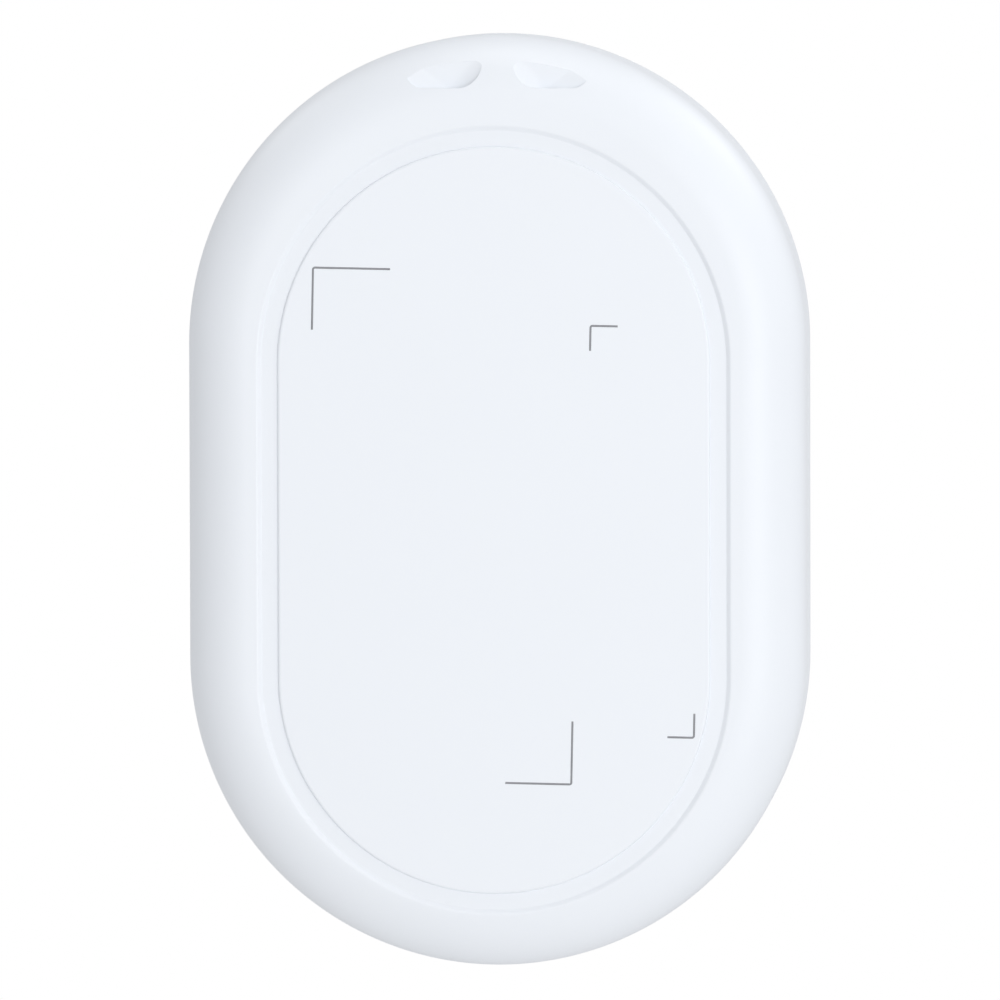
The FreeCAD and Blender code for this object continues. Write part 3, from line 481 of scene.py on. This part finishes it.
FINISHES = {
    "case_seal": SILICONE,
    "button_membrane": SILICONE,
    "case_screws": ZINC,
    "clamp_screws": ZINC,
    "membrane_clamp": NYLON,
    "switch_base": NYLON,
    "switch_stem": NYLON,
    "battery_holder": NYLON,
    "switch_frame": TINNED,
    "switch_dome": TINNED,
    "switch_leads": TINNED,
    "coin_cell": TINNED,
    "positive_clip": TINNED,
    "negative_contact": TINNED,
    "radio_shield": TINNED,
    "quartz_crystal": TINNED,
    "circuit_board": BOARD,
    "radio_board": BOARD,
    "status_leds": RESIN,
    "chip_antenna": CERAMIC,
    "capacitors": CERAMIC,
    "controller_chip": EPOXY,
    "resistors": EPOXY,
    "rear_cover": WHITE,
    "front_cover": WHITE,
    "label_plate": FILM,
    "button_cap": RED,
    "light_ring": CLEAR,
}
for name, node in nodes.items():
    node.data.materials.clear()
    node.data.materials.append(FINISHES[name])


# Wells


def soft_max(first, second, blend):
    """Give the greater of two values, with a smooth change from one to the other."""
    near = max(blend - abs(first - second), 0) / blend
    return max(first, second) + near * near * blend / 4


def well_outline():
    """Give the plan of the right well as a closed row of evenly spaced points."""
    turns = (
        (WELL_OUTER, WELL_FOOT, WELL_OUTER_CORNER),
        (WELL_OUTER, WELL_HEAD, 0),
        (WELL_INNER, WELL_HEAD, 0),
        (WELL_INNER, WELL_FOOT, WELL_INNER_CORNER),
    )
    corners = [Vector((x, y)) for x, y, _ in soften([turn + (None,) for turn in turns])]
    points = []
    for here, ahead in zip(corners, corners[1:] + corners[:1]):
        count = max(1, math.ceil((ahead - here).length / WELL_SPACING))
        points += [here.lerp(ahead, share) for share in steps(0, 1, count)]
    return points


def well_floor(plan):
    """Give the level of a well's floor: flat, with a bowl and a ramp that rise from it."""
    bowl = min(max((plan - WELL_BOWL_START).dot(WELL_BOWL_WAY), 0), WELL_BOWL_RADIUS - WELL_EDGE)
    rise = WELL_BOWL_RADIUS - math.sqrt(WELL_BOWL_RADIUS ** 2 - bowl ** 2)
    ramp = max((plan - WELL_RAMP_START).dot(WELL_RAMP_WAY), 0) * WELL_RAMP_RISE
    return REAR_LEVEL - WELL_DEPTH + min(soft_max(rise, ramp, WELL_EDGE), WELL_DEPTH + GUARD)


def well_tool(side):
    """Make the body that cuts a well on one side: its plan, with the shaped floor below."""
    outline = well_outline()
    middle = sum(outline, Vector((0, 0))) / len(outline)
    reach = max((point - middle).length for point in outline)
    high = REAR_LEVEL + 2 * GUARD
    rings = []
    for share in steps(1, 0, math.ceil(reach / WELL_SPACING)):
        flat = [middle.lerp(point, share) for point in outline]
        rings.append([Vector((WELL_SHIFT + side * p.x, p.y, well_floor(p))) for p in flat])
    rings.insert(0, [Vector((p.x, p.y, high)) for p in rings[0]])
    return loft("tool", rings, WHITE)



# Covers, label plate, cap and ring


def skin_level(point):
    """Give the level of the rear cover's outside over a point, with its wide edge round."""
    beyond = max(abs(point.y) - CASE_CENTRE, 0)
    into = max(math.hypot(point.x, beyond) - (CASE_RADIUS - REAR_ROUND), 0)
    return REAR_LEVEL - REAR_ROUND + math.sqrt(max(REAR_ROUND ** 2 - into ** 2, 0))


def settle(ring):
    """Let a ring of the recess follow the skin where the recess runs into the edge round."""
    settled = []
    for point in ring:
        share = (point.z - FLOOR_LEVEL) / (REAR_LEVEL - FLOOR_LEVEL)
        level = FLOOR_LEVEL + share * (skin_level(point) - FLOOR_LEVEL)
        settled.append(Vector((point.x, point.y, level)))
    return settled


def rear_shell():
    """Make the rear cover: recess, edge round, seal groove, cavity, screw bosses and wells."""
    rear_inside = FLOOR_LEVEL - FACE_WALL
    outline = PLATE_ENDS
    recess = soften([
        (0, FLOOR_LEVEL, 0, outline),
        (RECESS_RADIUS - RECESS_SLOPE, FLOOR_LEVEL, RECESS_FOOT, outline),
        (RECESS_RADIUS + RECESS_SLOPE, REAR_LEVEL, RECESS_ROUND, outline),
        (CASE_RADIUS, REAR_LEVEL, 0, outline),
    ])[1:-1]
    outside = [
        stadium(CASE_RADIUS, REAR_LEVEL - REAR_ROUND, CASE_ENDS),
        stadium(CASE_RADIUS, SEAM_BEVEL, CASE_ENDS),
        stadium(CASE_RADIUS - SEAM_BEVEL, 0, CASE_ENDS),
    ]
    inside = soften([
        (GROOVE_INNER + GROOVE_WIDTH, 0, 0, CAVITY_ENDS),
        (GROOVE_INNER + GROOVE_WIDTH, GROOVE_DEPTH, 0, CAVITY_ENDS),
        (GROOVE_INNER, GROOVE_DEPTH, 0, CAVITY_ENDS),
        (GROOVE_INNER, 0, 0, CAVITY_ENDS),
        (CAVITY_RADIUS, 0, 0, CAVITY_ENDS),
        (CAVITY_RADIUS, rear_inside, REAR_ROUND - SIDE_WALL, CAVITY_ENDS),
        (0, rear_inside, 0, CAVITY_ENDS),
    ])[:-1]
    recess = [settle(stadium(*point)) for point in recess]
    recess.insert(0, stadium(RECESS_RADIUS - MOAT, FLOOR_LEVEL, outline))
    rim = []
    for angle in steps(0, math.pi / 2, RIM_STEPS)[1:]:
        ring = mix(recess[-1], outside[0], math.sin(angle))
        rim.append([Vector((point.x, point.y, skin_level(point))) for point in ring])
    rings = guard(recess + rim + outside)
    inside = [stadium(*point) for point in inside]
    middle = [Vector((0, 0, rear_inside))] * len(inside[-1])
    inside.append(mix(inside[-1], middle, LAST_RING))
    shell = loft("rear_shell", rings + inside, WHITE)
    seat = FLOOR_LEVEL - HEAD_HEIGHT
    posts, holes = [], []
    for x, y in four(SCREW_PLACE):
        posts.append(tube(x, y, BOSS_RADIUS, BOARD_REAR, rear_inside + BOSS_ROOT, WHITE))
        holes.append(tube(x, y, SHANK_HOLE, BOARD_REAR - OVERLAP, seat + GUARD, WHITE))
        holes.append(tube(x, y, HEAD_RADIUS + HEAD_ROOM, seat, FLOOR_LEVEL + GUARD, WHITE))
    combine(shell, posts, "UNION")
    combine(shell, holes + [well_tool(-1), well_tool(1)], "DIFFERENCE")
    return shell


def front_shell():
    """Make the front cover: opening, cavity, seal rib, and posts for both kinds of screws."""
    rib_outer, rib_inner = GROOVE_INNER + GROOVE_WIDTH - RIB_GAP, GROOVE_INNER + RIB_GAP
    hole = RING_OUTER + RING_FIT
    skin = [
        (CASE_RADIUS - SEAM_BEVEL, 0, 0, CASE_ENDS),
        (CASE_RADIUS, -SEAM_BEVEL, 0, CASE_ENDS),
        (CASE_RADIUS, FRONT_LEVEL, FRONT_ROUND, CASE_ENDS),
        (hole, FRONT_LEVEL, RING_ROUND, CENTRED),
        (hole, FRONT_INSIDE, 0, CENTRED),
        (CAVITY_RADIUS, FRONT_INSIDE, FRONT_ROUND - SIDE_WALL, CAVITY_ENDS),
        (CAVITY_RADIUS, 0, 0, CAVITY_ENDS),
        (rib_inner, 0, 0, CAVITY_ENDS),
        (rib_inner, RIB_HEIGHT, 0, CAVITY_ENDS),
        (rib_outer, RIB_HEIGHT, 0, CAVITY_ENDS),
        (rib_outer, 0, 0, CAVITY_ENDS),
    ]
    rings = guard([stadium(*point) for point in soften(skin)], closed=True)
    shell = loft("front_shell", rings, WHITE, closed=True)
    root = FRONT_INSIDE - BOSS_ROOT
    posts, holes = [], []
    for screw, clamp in zip(four(SCREW_PLACE), four(CLAMP_PLACE)):
        posts.append(tube(*screw, BOSS_RADIUS, root, BOARD_FRONT, WHITE))
        holes.append(tube(*screw, PILOT_HOLE, SCREW_END, BOARD_FRONT + OVERLAP, WHITE))
        posts.append(tube(*clamp, CLAMP_POST_RADIUS, root, RIM_LEVEL, WHITE))
        holes.append(tube(*clamp, CLAMP_PILOT, CLAMP_SCREW_END, RIM_LEVEL + OVERLAP, WHITE))
    combine(shell, posts, "UNION")
    combine(shell, holes, "DIFFERENCE")
    return shell


def plate():
    """Make the label plate, with a rounded edge."""
    top = REAR_LEVEL - PLATE_SINK
    side = soften([
        (0, FLOOR_LEVEL, 0, PLATE_ENDS),
        (PLATE_RADIUS, FLOOR_LEVEL, 0, PLATE_ENDS),
        (PLATE_RADIUS, top, PLATE_ROUND, PLATE_ENDS),
        (0, top, 0, PLATE_ENDS),
    ])[1:-1]
    rings = [stadium(*point) for point in side]
    inner = stadium(PLATE_RADIUS - MOAT, top, PLATE_ENDS)
    return loft("plate", guard(rings + [inner]), FILM)


def cap():
    """Make the press cap: dished face, flange, post in its middle and four ribs."""
    rim = CAP_RADIUS - CAP_LIP
    dish = []
    for share in steps(0, 1, DISH_STEPS):
        dish.append((rim * share, CAP_LEVEL + CAP_DISH * (1 - share * share), 0))
    inside = CAP_LEVEL + CAP_DISH + CAP_FACE
    piece = spin("cap", dish + [
        (rim, CAP_LEVEL, 0),
        (CAP_RADIUS, CAP_LEVEL, CAP_LIP - HAIR),
        (CAP_RADIUS, FLANGE_LEVEL, 0),
        (CAP_RADIUS + CAP_FLANGE, FLANGE_LEVEL, 0),
        (CAP_RADIUS + CAP_FLANGE, CAP_BACK, 0),
        (CAP_RADIUS - CAP_WALL, CAP_BACK, 0),
        (CAP_RADIUS - CAP_WALL, inside, 0),
        (CAP_POST, inside, 0),
        (CAP_POST, HUB_LEVEL, 0),
        (0, HUB_LEVEL, 0),
    ], RED)
    ribs = []
    middle, half = (CAP_POST + CAP_RADIUS - CAP_WALL) / 2, (CAP_RADIUS - CAP_POST) / 2
    for turned in (0, 90, 180, 270):
        angle = math.radians(turned)
        plan = []
        for along, aside in ((-half, -1), (half, -1), (half, 1), (-half, 1)):
            flat = Vector((middle + along, aside * CAP_RIB / 2))
            x = flat.x * math.cos(angle) - flat.y * math.sin(angle)
            y = flat.x * math.sin(angle) + flat.y * math.cos(angle)
            plan.append(Vector((x, y)))
        ends = [[Vector((p.x, p.y, level)) for p in plan] for level in (inside - GUARD, CAP_BACK)]
        ribs.append(loft("tool", ends, RED))
    combine(piece, ribs, "UNION")
    return piece


def ring():
    """Make the light ring, with four pipes that reach down to the lights."""
    level = FRONT_LEVEL + RING_SINK
    outer = [
        (RING_INNER, FLANGE_LEVEL, 0),
        (RING_INNER, level, RING_ROUND),
        (RING_OUTER, level, RING_ROUND),
        (RING_OUTER, FRONT_INSIDE, 0),
        (RING_FLANGE, FRONT_INSIDE, 0),
        (RING_FLANGE, FLANGE_LEVEL, 0),
    ]
    profile = soften([corner + (CENTRED,) for corner in outer])
    rings = [[polar(r, 360 * index / FINE, z) for index in range(FINE)] for r, z, _ in profile]
    piece = loft("ring", guard(rings, closed=True), CLEAR, closed=True)
    place = (RING_FLANGE - PIPE_WALL - PIPE_RADIUS) * math.sqrt(0.5)
    root = FLANGE_LEVEL - BOSS_ROOT
    pipes = [tube(*spot, PIPE_RADIUS, root, PIPE_END, CLEAR) for spot in four((place, place))]
    combine(piece, pipes, "UNION")
    return piece


def ribbon_tree(material):
    """Build the node tree that turns the lines of a mesh into flat ribbons."""
    tree = bpy.data.node_groups.new("ribbon", "GeometryNodeTree")
    tree.interface.new_socket("Geometry", in_out="INPUT", socket_type="NodeSocketGeometry")
    for name in ("Width", "Thickness", "Bend"):
        tree.interface.new_socket(name, in_out="INPUT", socket_type="NodeSocketFloat")
    tree.interface.new_socket("Geometry", in_out="OUTPUT", socket_type="NodeSocketGeometry")
    source = add_node(tree, "NodeGroupInput")
    path = add_node(tree, "GeometryNodeMeshToCurve", Mesh=source.outputs["Geometry"])
    bent = add_node(tree, "GeometryNodeFilletCurve", {"mode": "POLY"}, Curve=path.outputs["Curve"],
                    Count=BEND_STEPS, Radius=source.outputs["Bend"])
    upright = add_node(tree, "GeometryNodeSetCurveNormal", {"mode": "Z_UP"},
                       Curve=bent.outputs["Curve"])
    outline = add_node(tree, "GeometryNodeCurvePrimitiveQuadrilateral",
                       Width=source.outputs["Width"], Height=source.outputs["Thickness"])
    swept = add_node(tree, "GeometryNodeCurveToMesh", Curve=upright.outputs["Curve"],
                     Profile_Curve=outline.outputs["Curve"], Fill_Caps=True)
    real = add_node(tree, "GeometryNodeRealizeInstances", Geometry=swept.outputs["Mesh"])
    inked = add_node(tree, "GeometryNodeSetMaterial", Geometry=real.outputs["Geometry"],
                     Material=material)
    add_node(tree, "NodeGroupOutput", Geometry=inked.outputs["Geometry"])
    return tree


def corner_marks():
    """Print the four L-shaped marks on the plate."""
    points, edges = [], []
    for (x, y), first, last in MARKS:
        start = len(points)
        for right, up in (first, (0, 0), last):
            across = x + right * math.cos(MARK_TURN) - up * math.sin(MARK_TURN)
            along = y + right * math.sin(MARK_TURN) + up * math.cos(MARK_TURN)
            points.append((across * MM, along * MM, 0))
        edges += [(start, start + 1), (start + 1, start + 2)]
    mesh = bpy.data.meshes.new("marks")
    mesh.from_pydata(points, edges, [])
    piece = bpy.data.objects.new("marks", mesh)
    bpy.context.scene.collection.objects.link(piece)
    tree = ribbon_tree(INK)
    modifier = piece.modifiers.new("ribbon", "NODES")
    modifier.node_group = tree
    values = {
        "Width": MARK_WIDTH * MM,
        "Thickness": MARK_THICKNESS * MM,
        "Bend": MARK_WIDTH * MM,
    }
    for item in tree.interface.items_tree:
        if item.name in values:
            modifier[item.identifier] = values[item.name]
    bpy.context.view_layer.update()
    graph = bpy.context.evaluated_depsgraph_get()
    piece.data = bpy.data.meshes.new_from_object(piece.evaluated_get(graph))
    piece.modifiers.clear()
    lift = Matrix.Translation(stand(0, 0, REAR_LEVEL - PLATE_SINK + MARK_LIFT))
    piece.data.transform(lift @ Matrix.Rotation(math.radians(90), 4, "X"))
    return piece


for piece, node, slot in (
    (rear_shell(), "rear_cover", "white_abs"),
    (front_shell(), "front_cover", "white_abs"),
    (plate(), "label_plate", "label_film"),
    (ring(), "light_ring", "clear_polycarbonate"),
):
    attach(piece, "housing")
    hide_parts(node)
red = cap()
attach(red, "button")
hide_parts("button_cap")
marks = corner_marks()
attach(marks, "housing")


# Camera: nearly level and a little to the right, far away through a long lens

AZIMUTH = math.radians(3.72)
ELEVATION = math.radians(3.0)
DISTANCE = 1.2
LENS = 435.8
ROLL = math.radians(-0.125)
TARGET = Vector((-0.029, 0, -0.184)) * MM


def outward_way(side, height):
    """Give the direction at an angle to the right of the rear face and a height above level."""
    return Vector((
        math.sin(side) * math.cos(height),
        -math.cos(side) * math.cos(height),
        math.sin(height),
    ))


def aim(position, target):
    """Give the turn of an object at a position that looks at a target."""
    return (target - position).to_track_quat("-Z", "Y").to_euler()


camera_data = bpy.data.cameras.new("camera")
camera_data.lens = LENS
camera_data.sensor_width = 36
camera_data.clip_start = 0.01
camera = bpy.data.objects.new("camera", camera_data)
bpy.context.scene.collection.objects.link(camera)
camera.location = TARGET + DISTANCE * outward_way(AZIMUTH, ELEVATION)
camera.rotation_euler = aim(camera.location, TARGET)
camera.rotation_euler.rotate_axis("Z", ROLL)
bpy.context.scene.camera = camera


# Light: an even white room, a floor that glows softly, and round lamps, the strongest of them
# in front, to the right. A lamp has the side it hangs on, in degrees to the right of the rear
# face, its height in degrees and its power in watts.

WHITE_LIGHT = (1.0, 1.0, 1.0, 1.0)
ROOM_STRENGTH = 0.516
FLOOR_STRENGTH = 0.758
FLOOR_HALF = 2.0
FLOOR_GAP = 0.0005
LAMP_DISTANCE = 1.0
LAMP_SIZE = 0.35
LAMPS = {
    "front": (0, 0, 1.61),
    "key": (30, 0, 4.24),
    "right": (50, 40, 0.47),
    "far_right": (70, 40, 0.25),
    "behind_left": (-120, 40, 1.01),
    "behind_right": (120, 40, 1.5),
    "above": (0, 84, 1.84),
    "behind": (180, 5, 2.8),
}
# Lamps that give no highlight, so that no edge glares against them
UNSEEN = ("behind",)


def two_whites(tree, kind, strength, output):
    """Light a tree with plain white where the camera looks at it, and with less elsewhere."""
    seen = add_node(tree, "ShaderNodeLightPath").outputs["Is Camera Ray"]
    glow = add_node(tree, kind, Color=WHITE_LIGHT, Strength=strength)
    plain = add_node(tree, kind, Color=WHITE_LIGHT, Strength=1.0)
    either = add_node(tree, "ShaderNodeMixShader", in0=seen, in1=glow.outputs[0],
                      in2=plain.outputs[0])
    add_node(tree, output, Surface=either.outputs[0])


world = bpy.data.worlds.new("room")
bpy.context.scene.world = world
world.use_nodes = True
world.node_tree.nodes.clear()
two_whites(world.node_tree, "ShaderNodeBackground", ROOM_STRENGTH, "ShaderNodeOutputWorld")

sheet = bpy.data.materials.new("paper_white_floor")
sheet.use_nodes = True
sheet.node_tree.nodes.clear()
two_whites(sheet.node_tree, "ShaderNodeEmission", FLOOR_STRENGTH, "ShaderNodeOutputMaterial")
mesh = bpy.data.meshes.new("floor")
below = REAR_LOW[2] - FLOOR_GAP
square = [(x * FLOOR_HALF, y * FLOOR_HALF, below) for x, y in ((-1, -1), (1, -1), (1, 1), (-1, 1))]
mesh.from_pydata(square, [], [(0, 1, 2, 3)])
mesh.materials.append(sheet)
floor = bpy.data.objects.new("floor", mesh)
bpy.context.scene.collection.objects.link(floor)

for name, (side, height, power) in LAMPS.items():
    data = bpy.data.lights.new(name, "AREA")
    data.shape = "DISK"
    data.size = LAMP_SIZE
    data.energy = power
    lamp = bpy.data.objects.new(name, data)
    lamp.location = LAMP_DISTANCE * outward_way(math.radians(side), math.radians(height))
    lamp.rotation_euler = aim(lamp.location, Vector((0, 0, 0)))
    lamp.visible_glossy = name not in UNSEEN
    bpy.context.scene.collection.objects.link(lamp)

bpy.context.scene.view_settings.view_transform = "Standard"
